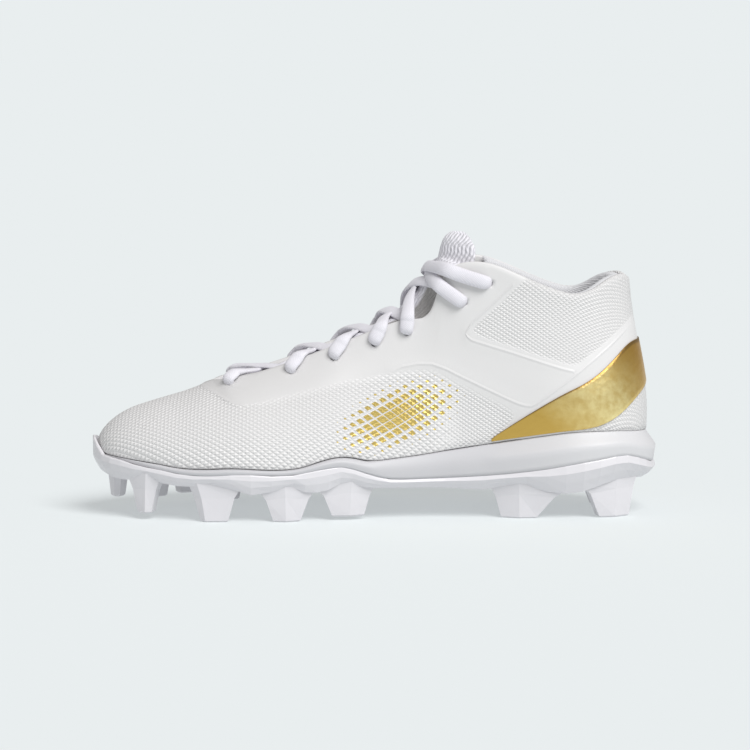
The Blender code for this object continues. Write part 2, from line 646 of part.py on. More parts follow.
def make_insole():
    turns = runs(RIB_RUNS)
    seat = WALL + GAP
    edge = -WALL - 4 * GAP
    levels = (
        (edge - INSOLE * 0.2, FEATHER, seat + INSOLE),
        (edge, FEATHER, seat),
        (-MARGIN - WALL - GAP, FEATHER, seat),
        (-MARGIN - WALL - GAP, FEATHER, 0.0),
    )
    return slab("insole", LINING, turns, levels)


def make_tongue():
    """A padded strip from under the vamp up the throat, its sides below the eyestays."""
    ribs = turn_of(np.linspace(TONGUE_FROM, 0.700, 16))
    ends = rib_end(ribs)
    under = WALL + 3 * GAP
    closed = np.clip((turn_of(THROAT_FROM) - ribs) / (turn_of(THROAT_FROM) - ribs[0]), 0, 1)
    tuck = 0.085 + 0.14 * closed
    edge_in = {s: skin(ribs, s, ends - tuck * 0.30, under + 2 * GAP) for s in (-1, 1)}
    deep_in = {s: skin(ribs, s, ends - tuck, under + 0.7 * GAP) for s in (-1, 1)}
    middle = (edge_in[-1] + edge_in[1])[:, 1] / 2
    covered = skin(ribs, -1, ends, under + 2 * GAP)
    open_from = int(np.argmax(closed <= 0))
    crest = list(covered[:open_from])
    spread = np.linspace(THROAT_FRONT, 0.612, len(ribs) - open_from + 1)[1:]
    crest += [crest_line(at, y) for at, y in zip(spread, middle[open_from:])]
    sections = list(zip(deep_in[-1], edge_in[-1], crest, edge_in[1], deep_in[1]))
    for at, half, wrap, drop in TONGUE_TOP:
        top = crest_line(at, middle[-1])
        section = []
        for reach, back in ((-1.0, 1.0), (-0.62, 0.42), (0.0, 0.0), (0.62, 0.42), (1.0, 1.0)):
            across = reach * half * TONGUE_TOP_WIDTH
            section.append(top + np.array([back * wrap, 0.0, -back * drop]) * TONGUE_WRAP + (0.0, across, 0.0))
        sections.append(section)
    return strip("tongue", KNIT, np.array(sections), TONGUE_THICK)


def crest_line(at, y):
    """The point of the tongue's crest at this share of the foot, at this y."""
    turn = turn_of(at)
    crest_at, crest_height = knots(TONGUE_CREST, TONGUE_COLUMNS, "height")
    return np.array([float(foot_x(turn)), y, float(through(crest_at, crest_height * TONGUE_HEIGHT, turn))])


def strip(name, made, sections, thick):
    """A cushion with these five-point sections as its face."""
    mesh = bmesh.new()
    shares = np.array([0.0, 0.12, 0.27, 0.42, 0.58, 0.73, 0.88, 1.0])
    grid = []
    for points in sections:
        run = np.concatenate([[0], np.cumsum(np.linalg.norm(np.diff(points, axis=0), axis=1))])
        run /= run[-1]
        grid.append(np.stack([bent(run, points[:, k], shares) for k in range(3)], -1))
    grid = np.array(grid)
    along = np.gradient(grid, axis=0)
    across = np.gradient(grid, axis=1)
    normal = np.cross(along, across)
    normal /= np.linalg.norm(normal, axis=2)[:, :, None]
    if normal[len(normal) // 2, 4, 2] < 0:
        normal = -normal
    edge = np.ones(grid.shape[:2])
    edge[[0, -1], :] = 0.35
    edge[:, [0, -1]] = np.minimum(edge[:, [0, -1]], 0.35)
    back = grid - normal * (thick * edge)[:, :, None]
    front = [[mesh.verts.new(p) for p in row] for row in grid]
    rear = [[mesh.verts.new(p) for p in row] for row in back]
    rows, columns = grid.shape[:2]
    for i in range(rows - 1):
        for j in range(columns - 1):
            mesh.faces.new((front[i][j], front[i + 1][j], front[i + 1][j + 1], front[i][j + 1]))
            mesh.faces.new((rear[i][j], rear[i][j + 1], rear[i + 1][j + 1], rear[i + 1][j]))
    rim = [(i, 0) for i in range(rows)] + [(rows - 1, j) for j in range(1, columns)]
    rim += [(i, columns - 1) for i in range(rows - 2, -1, -1)] + [(0, j) for j in range(columns - 2, 0, -1)]
    for k, (i, j) in enumerate(rim):
        m, n = rim[(k + 1) % len(rim)]
        mesh.faces.new((front[i][j], rear[i][j], rear[m][n], front[m][n]))
    return finish(mesh, name, made)


def make_padding():
    """The padded lining round the ankle, a roll at the collar that thins out below."""
    turns = runs(RIB_RUNS)
    turns = turns[turns > turn_of(PADDING_FROM)]
    ends = rib_end(turns)
    foot, _, _, top = rib(turns, -1)
    tall = np.linalg.norm(top - foot, axis=1)
    drop = PADDING_DROP / tall
    gap = WALL + 2 * GAP
    profile = (
        (1.00, gap + 1.7 * GAP),
        (0.985, gap),
        (0.78, gap),
        (0.50, gap),
        (0.25, gap),
        (0.00, gap),
        (0.00, gap + PADDING * 0.29),
        (0.40, gap + PADDING * 0.62),
        (0.72, gap + PADDING * 0.94),
        (0.92, gap + PADDING),
        (1.00, gap + PADDING * 0.72),
    )
    mesh = bmesh.new()
    rows = []
    for share, depth in profile:
        v = ends - drop * (1 - share) - 0.004
        line = {s: skin(turns, s, v, depth) for s in (-1, 1)}
        rows.append([mesh.verts.new(p) for p in list(line[-1]) + list(line[1][-2::-1])])
    count = len(rows)
    for k in range(count):
        band_of_faces(mesh, rows[k], rows[(k + 1) % count], closed=False)
    mesh.faces.new([row[0] for row in rows][::-1])
    mesh.faces.new([row[-1] for row in rows])
    return finish(mesh, "collar_padding", MESH_LINING)


def make_band():
    """Gold film wrapped round the heel, running forward to a point on each side."""
    turns = runs(RIB_RUNS)
    turns = np.concatenate([[turn_of(BAND[0][0])], turns[turns > turn_of(BAND[0][0]) + 0.005]])
    low = through(*knots(BAND, BAND_COLUMNS, "low"), turns)
    high = through(*knots(BAND, BAND_COLUMNS, "high"), turns)
    mesh = bmesh.new()
    rows = []
    steps = 3
    order = [(k / steps, GAP + BAND_THICK) for k in range(steps + 1)]
    order += [(k / steps, GAP) for k in range(steps, -1, -1)]
    for share, lift in order:
        v = low + (high - low) * share
        line = {s: skin(turns, s, v, -lift) for s in (-1, 1)}
        rows.append([mesh.verts.new(p) for p in list(line[-1]) + list(line[1][-2::-1])])
    count = len(rows)
    for k in range(count):
        band_of_faces(mesh, rows[k], rows[(k + 1) % count], closed=False)
    for end in (0, -1):
        for k in range(steps):
            a, b = rows[k][end], rows[k + 1][end]
            c, d = rows[count - 2 - k][end], rows[count - 1 - k][end]
            mesh.faces.new((a, b, c, d))
    return finish(mesh, "heel_band", GOLD)


def make_laces():
    """Criss-cross runs over the tongue, joined where they cross and where they share an eyelet."""
    lift = LACE / 2 + 2 * GAP
    lean = np.array([-0.55, 0.0, 0.83])
    edges, lines = {}, []
    for k, (at, inset, over_at) in enumerate(EYELETS):
        for side in (-1, 1):
            place, normal, low = eyelet(at, inset, side)
            turns = np.linspace(turn_of(at), turn_of(over_at), 3)
            high = float(rib_end(turns[2:])[0])
            rolled = skin(turns, side, np.linspace(low, high, 3), -lift)
            edges[k, side] = rolled[2] + lean * LACE_ROLL
            lines.append([place + normal * lift, rolled[1] + normal * LACE_ROLL, edges[k, side]])
    pairs = [(0, 0, 1)] + [(k, k + 1, s) for k in range(len(EYELETS) - 1) for s in (-1, 1)]
    for k, n, cross in pairs:
        a, b = edges[k, -cross], edges[n, cross]
        top = crest_point((a + b) / 2) + lean * (lift + 2 * GAP)
        left = a + (top - a) * 0.45 + lean * LACE_ARCH
        right = b + (top - b) * 0.45 + lean * LACE_ARCH
        lines.append([a, left, top, right, b])
    meshes = []
    for k, points in enumerate(lines):
        curve = bpy.data.curves.new("lace_line_%02d" % k, "CURVE")
        curve.dimensions = "3D"
        curve.bevel_depth = LACE / 2
        curve.bevel_resolution = 0
        curve.use_fill_caps = True
        line = curve.splines.new("POLY")
        line.points.add(len(points) - 1)
        for point, place in zip(line.points, points):
            point.co = (*place, 1.0)
        guide = bpy.data.objects.new(curve.name, curve)
        bpy.context.scene.collection.objects.link(guide)
        bpy.context.view_layer.update()
        graph = bpy.context.evaluated_depsgraph_get()
        meshes.append(bpy.data.meshes.new_from_object(guide.evaluated_get(graph)))
        bpy.data.objects.remove(guide, do_unlink=True)
    first, rest = bmesh.new(), bmesh.new()
    first.from_mesh(meshes[-1])
    for made in meshes[:-1]:
        rest.from_mesh(made)
    for mesh in (first, rest):
        bmesh.ops.remove_doubles(mesh, verts=mesh.verts, dist=1e-6)
    laces = finish(first, "laces", CORD)
    add_modifier(laces, "BOOLEAN", operation="UNION", object=cutter(rest, "lace_runs"), solver="EXACT", use_self=True)
    return laces


def crest_point(near):
    """The point of the tongue's crest that a lace run at this place crosses."""
    line = np.array([crest_line(at, near[1]) for at in np.linspace(TONGUE_CREST[0][0], TONGUE_CREST[-1][0], 160)])
    slant = np.array([0.83, 0.0, 0.55])
    return line[np.argmin(np.abs((line - near) @ slant))]


for old in list(bpy.data.objects):
    bpy.data.objects.remove(old, do_unlink=True)

PLASTIC = material("stud_plate_plastic", (0.80, 0.77, 0.80), 0.35)
FOAM = material("midsole_foam", (0.80, 0.81, 0.83), 0.55)
SKIN = material("embossed_white_skin", (0.82, 0.82, 0.81), 0.5)
LINING = material("footbed_cloth", (0.78, 0.78, 0.79), 0.9)
KNIT = material("tongue_knit", (0.80, 0.79, 0.83), 0.85)
MESH_LINING = material("collar_mesh", (0.72, 0.72, 0.74), 0.9)
GOLD = material("gold_film", (0.62, 0.42, 0.12), 0.3, 0.9)
CORD = material("lace_cord", (0.82, 0.81, 0.85), 0.8)

make_outsole()
make_midsole()
make_upper()
make_insole()
make_tongue()
make_padding()
make_band()
make_laces()
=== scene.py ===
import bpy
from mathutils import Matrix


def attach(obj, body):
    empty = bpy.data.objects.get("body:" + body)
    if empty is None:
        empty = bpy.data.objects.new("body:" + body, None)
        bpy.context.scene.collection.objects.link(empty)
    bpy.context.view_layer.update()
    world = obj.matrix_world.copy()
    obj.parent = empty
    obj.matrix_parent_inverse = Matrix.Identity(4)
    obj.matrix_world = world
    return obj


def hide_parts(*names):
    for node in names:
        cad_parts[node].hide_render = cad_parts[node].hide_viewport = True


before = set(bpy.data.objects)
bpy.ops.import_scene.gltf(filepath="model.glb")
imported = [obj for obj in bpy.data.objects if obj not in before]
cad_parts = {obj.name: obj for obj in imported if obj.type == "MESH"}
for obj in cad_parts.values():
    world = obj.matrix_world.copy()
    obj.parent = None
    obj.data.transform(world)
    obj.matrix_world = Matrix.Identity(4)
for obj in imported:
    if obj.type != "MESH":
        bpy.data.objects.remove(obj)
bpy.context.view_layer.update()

import math

import bmesh
import bpy
import numpy as np
from mathutils import Matrix, Vector

# Camera. A long lens on the shoe's inner side, turned down by six degrees, so that the collar's far
# edge just shows over the near one.
CAMERA_AT = (0.0, -1.547, 0.2326)
CAMERA_AIM = (0.0, 0.0, 0.070)
camera_data = bpy.data.cameras.new("camera")
camera_data.sensor_width = 36.0
camera_data.lens = 144.1
camera_data.clip_start = 0.1
camera = bpy.data.objects.new("camera", camera_data)
bpy.context.scene.collection.objects.link(camera)
camera.location = CAMERA_AT
camera.rotation_euler = (Vector(CAMERA_AIM) - camera.location).to_track_quat("-Z", "Y").to_euler()
bpy.context.scene.camera = camera


# Laces. Flat woven polyester cord, two strands that criss-cross up the throat: each comes out of an
# eyelet, rolls over the eyestay's edge, crosses the tongue and dives under the other edge. Their ends
# go in at the top eyelets from outside and stay inside.
MM = 0.001
# In mm: the hole, the eyestay's edge beside it, and how far the skin there faces up, 0 to 1.
EYELET_COLUMNS = (
    "x", "z", "near_y", "far_y", "edge_x", "edge_z", "near_edge", "far_edge", "near_slant", "far_slant"
)
EYELETS = (
    (-75.0, 68.5, -22.5, 12.3, -77.8, 69.7, -16.8, 6.4, 0.86, 0.89),
    (-43.4, 75.0, -25.6, 18.5, -46.0, 78.1, -20.8, 13.0, 0.70, 0.79),
    (-21.2, 82.2, -25.5, 20.1, -23.0, 86.8, -21.8, 15.2, 0.52, 0.69),
    (-0.5, 89.3, -25.2, 20.7, -1.4, 95.2, -23.0, 17.1, 0.31, 0.52),
    (16.1, 94.6, -25.8, 21.3, 15.6, 101.3, -24.4, 18.5, 0.20, 0.41),
    (45.0, 110.1, -31.0, 27.0, 32.3, 118.9, -27.5, 21.7, 0.02, 0.13),
    (57.7, 120.0, -32.6, 27.3, 36.3, 126.4, -28.8, 22.9, 0.00, 0.07),
)
# The tongue's front line in mm, x and z, from the toe end to its top.
TONGUE_LINE = (
    (-86.6, 63.2), (-80.3, 64.8), (-73.8, 67.3), (-61.1, 71.9), (-44.0, 77.7), (-20.2, 87.6), (-0.1, 96.9),
    (11.3, 104.1), (16.9, 110.8), (21.8, 116.9), (26.9, 124.0), (30.0, 128.5), (31.4, 131.7),
)
TONGUE_STEPS = 200
TONGUE_REACH = 6
THROAT_WAY = (0.83, 0.55)
LACE_WIDE = 0.0074
LACE_THICK = 0.0038
CROSS_WIDE = 0.0066
CROSS_THICK = 0.0018
CROSS_SINK = 0.0003
CLEAR = 0.0002
# Width and thickness where the hole pinches the lace: inside it, at its rim and just past it.
PINCHED = ((0.0050, 0.0034), (0.0060, 0.0036), (0.0072, 0.0038))
HOLE_DEEP = (0.0045, 0.0005)
HOLE_SHIFT = 0.0004
TUCKED_WIDE = (0.0058, 0.0040)
TUCKED_DEEP = (0.0036, 0.0050)
TOP_PAIR = 5
# How far each lower lace leans to the next eyelet's edge.
LEAN_SHARE = (0.22, 0.36, 0.36, 0.30, 0.10)
# Three stations over the tongue: share of the way, how far the lace has turned flat, thickness.
CROSSING = ((0.25, 0.5, 0.0026), (0.50, 1.0, CROSS_THICK), (0.75, 1.0, CROSS_THICK))
RING_SIDES = 14
ROW_STEPS = 6
WEAVE_PITCH = 0.0011
WEAVE_DEEP = 0.00022
THREAD_SHADE = (0.74, 0.725, 0.775)
THREAD_CROWN = (0.88, 0.86, 0.91)


class Nodes:
    """Short calls for building one material's nodes on Object coordinates."""

    def __init__(self, name):
        self.made = bpy.data.materials.new(name)
        self.made.use_nodes = True
        self.tree = self.made.node_tree
        self.shader = self.tree.nodes["Principled BSDF"]
        coordinates = self.tree.nodes.new("ShaderNodeTexCoord")
        self.place = coordinates.outputs["Object"]
        self.facing = coordinates.outputs["Normal"]
        self.x, self.y, self.z = self.split(self.place)

    def split(self, vector):
        node = self.tree.nodes.new("ShaderNodeSeparateXYZ")
        self.tree.links.new(vector, node.inputs[0])
        return node.outputs

    def math(self, kind, a, b=0.0, clamp=False):
        node = self.tree.nodes.new("ShaderNodeMath")
        node.operation = kind
        node.use_clamp = clamp
        for socket, value in zip(node.inputs, (a, b)):
            if isinstance(value, (int, float)):
                socket.default_value = value
            else:
                self.tree.links.new(value, socket)
        return node.outputs[0]

    def add(self, a, b, clamp=False):
        return self.math("ADD", a, b, clamp)

    def less(self, a, b, clamp=False):
        return self.math("SUBTRACT", a, b, clamp)

    def times(self, a, b, clamp=False):
        return self.math("MULTIPLY", a, b, clamp)

    def divide(self, a, b, clamp=False):
        return self.math("DIVIDE", a, b, clamp)

    def apart(self, a, b):
        return self.math("ABSOLUTE", self.less(a, b))

    def both(self, a, b):
        return self.times(a, b)

    def either(self, a, b):
        return self.math("MAXIMUM", a, b)

    def unless(self, a, b):
        return self.times(a, self.less(1.0, b))

    def over(self, a, b, soft=0.0006):
        """1 where a is above b, 0 where it is below, over a soft width."""
        return self.add(self.divide(self.less(a, b), soft), 0.5, clamp=True)

    def ridge(self, value, pitch):
        """0 in the groove, 1 in the middle between two grooves."""
        return self.divide(self.math("PINGPONG", value, pitch / 2), pitch / 2)

    def crossed(self, one_way, other_way, pitch):
        """Threads of two directions, 1 on the crown of a crossing."""
        return self.both(self.ridge(one_way, pitch), self.ridge(other_way, pitch))

    def line(self, points, along, low=-150.0, high=150.0, least=-150.0, most=250.0):
        """Value in metres of a drawn line at the coordinate along; points in mm."""
        node = self.tree.nodes.new("ShaderNodeFloatCurve")
        curve = node.mapping.curves[0]
        for k, (a, b) in enumerate(points):
            spot = (a - low) / (high - low), (b - least) / (most - least)
            if k < 2:
                curve.points[k].location = spot
            else:
                curve.points.new(*spot)
        for point in curve.points:
            point.handle_type = "VECTOR"
        node.mapping.update()
        shifted = self.less(along, low * MM)
        self.tree.links.new(self.divide(shifted, (high - low) * MM), node.inputs["Value"])
        return self.add(self.times(node.outputs[0], (most - least) * MM), least * MM)

    def mix(self, share, a, b):
        node = self.tree.nodes.new("ShaderNodeMix")
        node.data_type = "RGBA"
        for socket, value in ((node.inputs[0], share), (node.inputs[6], a), (node.inputs[7], b)):
            if isinstance(value, tuple):
                socket.default_value = (*value, 1.0)
            else:
                self.tree.links.new(value, socket)
        return node.outputs[2]

    def noise(self, scale, detail=3.0):
        node = self.tree.nodes.new("ShaderNodeTexNoise")
        node.inputs["Scale"].default_value = scale
        node.inputs["Detail"].default_value = detail
        self.tree.links.new(self.place, node.inputs["Vector"])
        return node.outputs["Fac"]

    def bump(self, height, distance, strength=1.0, below=None):
        node = self.tree.nodes.new("ShaderNodeBump")
        node.inputs["Strength"].default_value = strength
        node.inputs["Distance"].default_value = distance
        self.tree.links.new(height, node.inputs["Height"])
        if below is not None:
            self.tree.links.new(below, node.inputs["Normal"])
        return node.outputs["Normal"]

    def set(self, name, value):
        if isinstance(value, (int, float)):
            self.shader.inputs[name].default_value = value
        else:
            self.tree.links.new(value, self.shader.inputs[name])


def unit(vector):
    return vector / np.linalg.norm(vector)


def lace_place(k, side):
    """Hole, edge and the skin's outward direction at an eyelet; side -1 is the near one. Metres."""
    row = dict(zip(EYELET_COLUMNS, EYELETS[k]))
    name = "near" if side < 0 else "far"
    hole = np.array([row["x"], row[name + "_y"], row["z"]]) * MM
    edge = np.array([row["edge_x"], row[name + "_edge"], row["edge_z"]]) * MM
    slant = row[name + "_slant"]
    return hole, edge, unit(np.array([-0.17, side * math.sqrt(0.97 - slant * slant), slant]))


def way_up(k, side):
    """Rows of place, aim of the flat side, width and thickness: out of the hole and over the edge."""
    hole, edge, out = lace_place(k, side)
    if k < TOP_PAIR:
        onward = lace_place(k + 1, side)[1]
        edge = edge + (onward - edge) * LEAN_SHARE[k]
    run = edge - hole
    ahead = unit(run)
    lean = unit(out + np.array([-0.25, 0.0, 0.35]))
    lying = LACE_THICK / 2 + CLEAR
    return [
        (hole - out * HOLE_DEEP[0] + ahead * HOLE_SHIFT, ahead + out * 0.2, *PINCHED[0]),
        (hole - out * HOLE_DEEP[1] + ahead * HOLE_SHIFT, out * 0.8 - ahead * 0.6, *PINCHED[1]),
        (hole + out * lying + run * 0.14, out, *PINCHED[2]),
        (hole + out * (lying + 2 * CLEAR) + run * 0.62, out, LACE_WIDE, LACE_THICK),
        (edge + lean * lying, lean, LACE_WIDE, LACE_THICK),
    ]


def way_under(k, side):
    """The rest of a run that dives under the edge and ends behind the hole."""
    hole, edge, out = lace_place(k, side)
    return [
        (edge - out * TUCKED_DEEP[0] - (edge - hole) * 0.05, out, TUCKED_WIDE[0], CROSS_THICK),
        (hole - out * TUCKED_DEEP[1], out, TUCKED_WIDE[1], CROSS_THICK),
    ]


def tongue_top(near):
    """The tongue's front line where a lace at this place crosses it, and the way out from it."""
    line = np.array(TONGUE_LINE) * MM
    x = np.linspace(line[0, 0], line[-1, 0], TONGUE_STEPS)
    z = np.interp(x, line[:, 0], line[:, 1])
    k = int(np.argmin(np.abs((x - near[0]) * THROAT_WAY[0] + (z - near[2]) * THROAT_WAY[1])))
    k = min(max(k, TONGUE_REACH), TONGUE_STEPS - 1 - TONGUE_REACH)
    first, last = k - TONGUE_REACH, k + TONGUE_REACH
    along = unit(np.array([x[last] - x[first], 0.0, z[last] - z[first]]))
    return np.array([x[k], near[1], z[k]]), np.array([-along[2], 0.0, along[0]])


def smooth_rows(rows):
    """Even rows of a smooth line through these."""
    rows = np.array([np.hstack(row) for row in rows])
    full = np.vstack([2 * rows[0] - rows[1], rows, 2 * rows[-1] - rows[-2]])
    found = []
    for a, b, c, d in zip(full, full[1:], full[2:], full[3:]):
        for t in np.arange(ROW_STEPS) / ROW_STEPS:
            curve = (c - a) * t + (2 * a - 5 * b + 4 * c - d) * t**2 + (3 * b - a - 3 * c + d) * t**3
            found.append(b + curve / 2)
    found.append(rows[-1])
    return found


def lace_run(start, end, lift):
    """The rows of one run from its first hole, over the tongue, to its last hole."""
    way = way_up(*start)
    rest = way_up(*end)[::-1] if end[0] == len(EYELETS) - 1 else way_under(*end)
    a, b = way[-1][0], rest[0][0]
    top, normal = tongue_top((a + b) / 2)
    top = top + normal * (CROSS_THICK / 2 + lift - CROSS_SINK)
    facing = lace_place(*start)[2]
    for share, turned, thick in CROSSING:
        chord = a + (b - a) * share
        near_top = 1.0 - (2 * share - 1) ** 2
        aim = facing * (1 - turned) + normal * turned
        way.append((chord + (top - (a + b) / 2) * near_top, aim, CROSS_WIDE, thick))
    return way + rest


lace_runs = []
for k in range(len(EYELETS) - 1):
    lace_runs.append(((k, -1), (k + 1, 1), 0.0))
    lace_runs.append(((k, 1), (k + 1, -1), CROSS_THICK + CLEAR))
woven = bmesh.new()
for start, end, lift in lace_runs:
    rows = smooth_rows(lace_run(start, end, lift))
    last = []
    for i, row in enumerate(rows):
        ahead = unit((rows[min(i + 1, len(rows) - 1)] - rows[max(i - 1, 0)])[:3])
        flat = unit(row[3:6] - ahead * (row[3:6] @ ahead))
        across = np.cross(ahead, flat)
        turn = Matrix((across * row[6], flat * row[7], ahead)).transposed().to_4x4()
        turn.translation = row[:3]
        bmesh.ops.create_circle(woven, segments=RING_SIDES, radius=0.5, matrix=turn)
        woven.edges.ensure_lookup_table()
        ring = woven.edges[-RING_SIDES:]
        if last:
            bmesh.ops.bridge_loops(woven, edges=last + ring)
        else:
            bmesh.ops.contextual_create(woven, geom=ring)
        last = ring
    bmesh.ops.contextual_create(woven, geom=last)
bmesh.ops.recalc_face_normals(woven, faces=woven.faces)
lace_mesh = bpy.data.meshes.new("laces_woven")
woven.to_mesh(lace_mesh)
woven.free()
lace_mesh.shade_smooth()
laces = bpy.data.objects.new("laces_woven", lace_mesh)
bpy.context.scene.collection.objects.link(laces)

weave = Nodes("lace_weave")
slope = weave.add(weave.add(weave.x, weave.y), weave.z)
slope_back = weave.less(weave.add(weave.x, weave.z), weave.y)
picks = weave.crossed(slope, slope_back, WEAVE_PITCH)
weave.set("Base Color", weave.mix(picks, THREAD_SHADE, THREAD_CROWN))
weave.set("Roughness", 0.85)
weave.set("Sheen Weight", 0.2)
weave.set("Normal", weave.bump(picks, WEAVE_DEEP, 0.6))
laces.data.materials.append(weave.made)
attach(laces, "root")
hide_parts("laces")


# Upper. One-piece coated textile pressed in a mould: raised diamonds over toe, arch, ankle and heel
# counter, smooth film over the eyestays, the quarter and a strip along the heel band. It is lasted over
# the foot form and glued down. A fading field of small gold lozenges is printed on both its sides.
MIDDLE_Y = -0.003
COARSE = (0.0038, 0.0030)
FINE = (0.0029, 0.0021)
# Lines drawn on the side view, x and z in mm. The film's lower edge, from the toe to the heel band:
FILM_EDGE = (
    (-150, 75), (-104, 69), (-99, 67.2), (-94, 66.4), (-89, 65.8), (-85, 64.8), (-81, 63.3), (-77, 61.4),
    (-73.5, 59.8), (-70, 58.9), (-66, 58.8), (-60, 60.0),
    (-48, 63.4), (-33, 66.9), (-14, 71.4), (-4, 72.6), (6, 74.6), (14, 75.8), (22, 76.6), (29, 76.2),
    (36, 73.6), (42, 70.4), (55, 64), (66, 58.6), (70, 55.6), (72, 50), (73, 0), (150, 0),
)
# Where the diamonds of the arch end at the strip along the heel band.
ARCH_END = (
    (-150, -20), (54, -20), (56, 33), (61.5, 40.6), (66, 47), (69, 50.2), (71, 53), (73, 130), (150, 130),
)
# The top of the diamonds under the heel band.
HEEL_LOW = ((-150, -20), (94, -20), (96, 48), (112, 56), (126, 72), (136, 86), (150, 100))
# The lower and the front edge of the diamonds at the ankle.
ANKLE_LOW = (
    (-150, 220), (48.5, 220), (49, 98), (50, 95.4), (52, 93.6), (60, 91.0), (70, 87.8), (86, 82.6), (97, 79.4),
    (101, 79.0), (104, 80.0), (116, 89), (129, 99.5), (141, 110), (150, 115),
)
ANKLE_FRONT = (
    (-150, -20), (47.5, -20), (48.5, 94), (49.5, 96.6), (52, 99.4), (62, 108.5), (74, 120.2), (86, 132),
    (150, 200),
)
# The raised edge of the quarter's film, and the two that frame the ankle's diamonds.
QUARTER_LINE = (
    (-150, 30), (4, 70), (8, 74.8), (14, 77.4), (22, 78.9), (29, 78.8), (36, 76.4), (42, 73.4), (55, 67.2),
    (66, 62), (72, 59.4), (76, 58.2), (79, 58.0), (82, 59.2), (92, 66.4), (104, 75.6), (118, 86.6),
    (131, 97.8), (150, 113),
)
ANKLE_LINE = (
    (-150, 95.0), (46, 94.6), (47, 92.6), (49, 91.2), (60, 87.8), (70, 84.8), (86, 79.6), (96, 76.6),
    (102, 75.2), (150, 75),
)
ANKLE_START = ((-150, 94.0), (46.2, 94.6), (47.4, 97.6), (50, 100.6), (60, 110), (72, 121.5), (150, 200))
# Each raised edge's first and last x in mm, and how softly it ends there.
EDGES = (
    (FILM_EDGE, -99, -66, 0.004),
    (QUARTER_LINE, 10, 128, 0.008),
    (ANKLE_LINE, 46, 101, 0.0008),
    (ANKLE_START, 46, 70, 0.0008),
)
LINE_HALF = 0.0011
LINE_DEEP = 0.00028
LINE_RISE = 0.00035
SOFT_HALF = 0.0020
FILM_RISE = 0.00025
FILM_SOFT = 0.003
SIDE_TOP = 0.055
TOE_ENDS = -0.058
REAR_STARTS = 0.036
FINE_SHARE = 0.7
TEXTURE_DEEP = 0.0003
DIAMOND_DEEP = 0.0009
GRAIN = 900.0
GRAIN_DEEP = 0.00005
# The film's front colour is painted shade: darker over the vamp's top, which gets more light than the sides.
FILM_FRONT_PAINTED_SHADE = (0.65, 0.64, 0.638)
FILM_REAR = (0.73, 0.72, 0.718)
# The diamonds are coloured with painted shade in their grooves and a painted highlight on their tips.
GROOVE_PAINTED_SHADE = (0.70, 0.69, 0.687)
TIP_PAINTED_HIGHLIGHT = (0.825, 0.813, 0.81)


def smooth_piece(node, name, levels, crease_angle, hold=0.9, bottom_hold=None):
    """A finer copy of a CAD solid, its sharp edges held and the rest rounded."""
    shape = bmesh.new()
    shape.from_mesh(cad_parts[node].data)
    bmesh.ops.remove_doubles(shape, verts=shape.verts, dist=1e-6)
    bmesh.ops.join_triangles(
        shape, faces=shape.faces, angle_face_threshold=math.radians(24), angle_shape_threshold=math.radians(60)
    )
    crease = shape.edges.layers.float.new("crease_edge")
    for edge in shape.edges:
        if len(edge.link_faces) == 2 and edge.calc_face_angle() > math.radians(crease_angle):
            edge[crease] = hold
        if bottom_hold and len(edge.link_faces) == 2:
            down = sorted(face.normal.z for face in edge.link_faces)
            if down[0] < -0.7 < down[1] - 0.2:
                edge[crease] = bottom_hold
    coarse = bpy.data.meshes.new(name)
    shape.to_mesh(coarse)
    shape.free()
    piece = bpy.data.objects.new(name, coarse)
    bpy.context.scene.collection.objects.link(piece)
    finer = piece.modifiers.new("finer", "SUBSURF")
    finer.levels = levels
    finer.render_levels = levels
    bpy.context.view_layer.update()
    fine = bpy.data.meshes.new_from_object(piece.evaluated_get(bpy.context.evaluated_depsgraph_get()))
    piece.modifiers.clear()
    piece.data = fine
    fine.name = name
    fine.shade_smooth()
    return piece


def dress(piece, finish):
    """Give a piece this material alone."""
    piece.data.materials.clear()
    piece.data.materials.append(finish.made)


def move_points(piece, places):
    piece.data.vertices.foreach_set("co", places.astype(np.float32).ravel())
    piece.data.update()


def away_from(places, line):
    """Distance of each place from a drawn line, both in the side view."""
    flat = places[:, [0, 2]]
    least = np.full(len(places), 1.0)
    for a, b in zip(np.array(line) * MM, np.array(line[1:]) * MM):
        share = np.clip((flat - a) @ (b - a) / ((b - a) @ (b - a)), 0, 1)
        least = np.minimum(least, np.linalg.norm(flat - a - share[:, None] * (b - a), axis=1))
    return least


def diamond_grid(nodes, size, scale=1):
    """Four-sided points over the skin, 0 in their grooves and 1 at their tips."""
    long, tall = size[0] * scale, size[1] * scale
    girth = nodes.times(nodes.less(nodes.z, nodes.apart(nodes.y, MIDDLE_Y)), long / tall)
    one_way = nodes.ridge(nodes.add(nodes.x, girth), long)
    other_way = nodes.ridge(nodes.less(nodes.x, girth), long)
    return nodes.math("MINIMUM", one_way, other_way)


upper = smooth_piece("upper", "upper_skin", 2, 60, 0.45, 1.0)
places = np.array([v.co[:] for v in upper.data.vertices])
normals = np.array([v.normal[:] for v in upper.data.vertices])
outer = np.sign(places[:, 1] - MIDDLE_Y) * normals[:, 1] + normals[:, 2] * (places[:, 2] > SIDE_TOP) > 0.0
film_z = np.interp(places[:, 0] / MM, *np.array(FILM_EDGE).T) * MM
rise = np.clip((places[:, 2] - film_z) / FILM_SOFT + 0.5, 0, 1) * FILM_RISE
for line in (QUARTER_LINE[2:-1], ANKLE_LINE[1:-1], ANKLE_START[1:-1]):
    rise = rise + LINE_RISE * np.exp(-((away_from(places, line) / SOFT_HALF) ** 2))
move_points(upper, places + normals * (rise * outer)[:, None])

